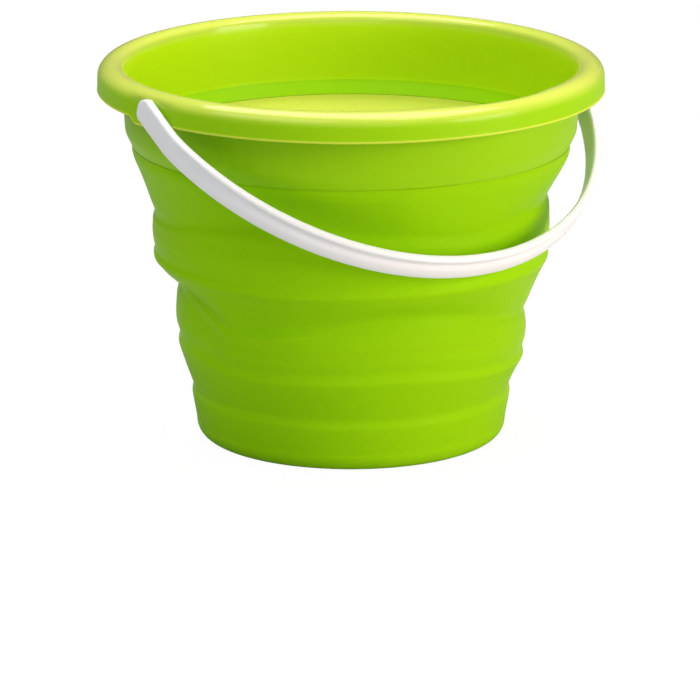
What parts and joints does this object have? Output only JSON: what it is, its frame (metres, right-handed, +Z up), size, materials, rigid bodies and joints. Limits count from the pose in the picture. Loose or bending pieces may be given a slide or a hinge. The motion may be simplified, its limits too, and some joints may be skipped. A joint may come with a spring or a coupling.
{
  "type": "collapsible camp bucket",
  "caption": "Round soft-walled bucket that folds flat between a rigid spouted rim and a rigid base, with a swinging bail handle and a hang tab.",
  "frame": {"origin": "centre of the base's underside, on the surface that the open bucket stands on", "axes": "+Z up out of the mouth; the handle's pivots lie along X; the pour spout points to -Y and the hang tab to +Y"},
  "size_m": [0.3276, 0.3435, 0.243],
  "materials": {
    "soft_wall": "smooth satin thermoplastic rubber",
    "rigid_rim": "glossy moulded polypropylene",
    "rigid_base": "satin moulded polypropylene",
    "handle": "satin white moulded polypropylene"
  },
  "bodies": {
    "base": {"base_plate": "rigid_base", "base_cup": "soft_wall", "lower_web": "soft_wall"},
    "lower_band": {"lower_ring": "soft_wall", "middle_web": "soft_wall"},
    "upper_band": {"upper_ring": "soft_wall", "upper_web": "soft_wall"},
    "rim": {"rim_frame": "rigid_rim", "soft_cuff": "soft_wall"},
    "handle": {"bail_handle": "handle"}
  },
  "joints": [
    {"name": "lower_fold", "type": "slide", "parent": "base", "child": "lower_band", "axis": [0, 0, -1], "range_m": [0, 0.054], "deforming": ["lower_web"]},
    {"name": "middle_fold", "type": "slide", "parent": "lower_band", "child": "upper_band", "axis": [0, 0, -1], "range_m": [0, 0.068], "deforming": ["middle_web"]},
    {"name": "upper_fold", "type": "slide", "parent": "upper_band", "child": "rim", "axis": [0, 0, -1], "range_m": [0, 0.066], "deforming": ["upper_web"]},
    {"name": "handle_swing", "type": "hinge", "parent": "rim", "child": "handle", "pos_m": [0, 0, 0.231], "axis": [-1, 0, 0], "range_deg": [0, 212.2]}
  ]
}
